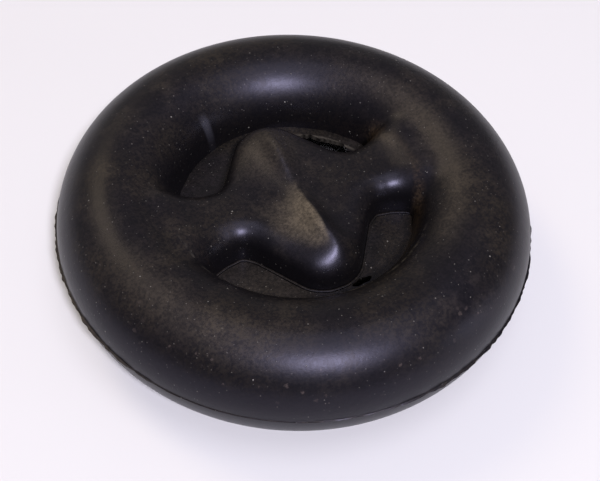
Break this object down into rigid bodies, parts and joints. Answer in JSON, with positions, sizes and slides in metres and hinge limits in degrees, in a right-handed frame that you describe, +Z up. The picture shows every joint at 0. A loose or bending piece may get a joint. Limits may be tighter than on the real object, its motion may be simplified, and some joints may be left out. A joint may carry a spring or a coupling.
{
  "type": "exhaust hanger rubber",
  "caption": "Moulded rubber ring with a pointed web across its bore, which hangs an exhaust pipe from a car's floor by hooks and keeps the hooks apart.",
  "frame": {"origin": "on the surface that the rubber lies on, on the ring's axis", "axes": "+Z up along the ring's axis, X along the two arms that join the ring, Y along the two noses that end short of it"},
  "size_m": [0.0728, 0.0728, 0.019],
  "materials": {
    "rubber": "satin black, bloomed and dusty with age"
  },
  "bodies": {
    "root": {"hanger_rubber": "rubber"}
  },
  "joints": []
}
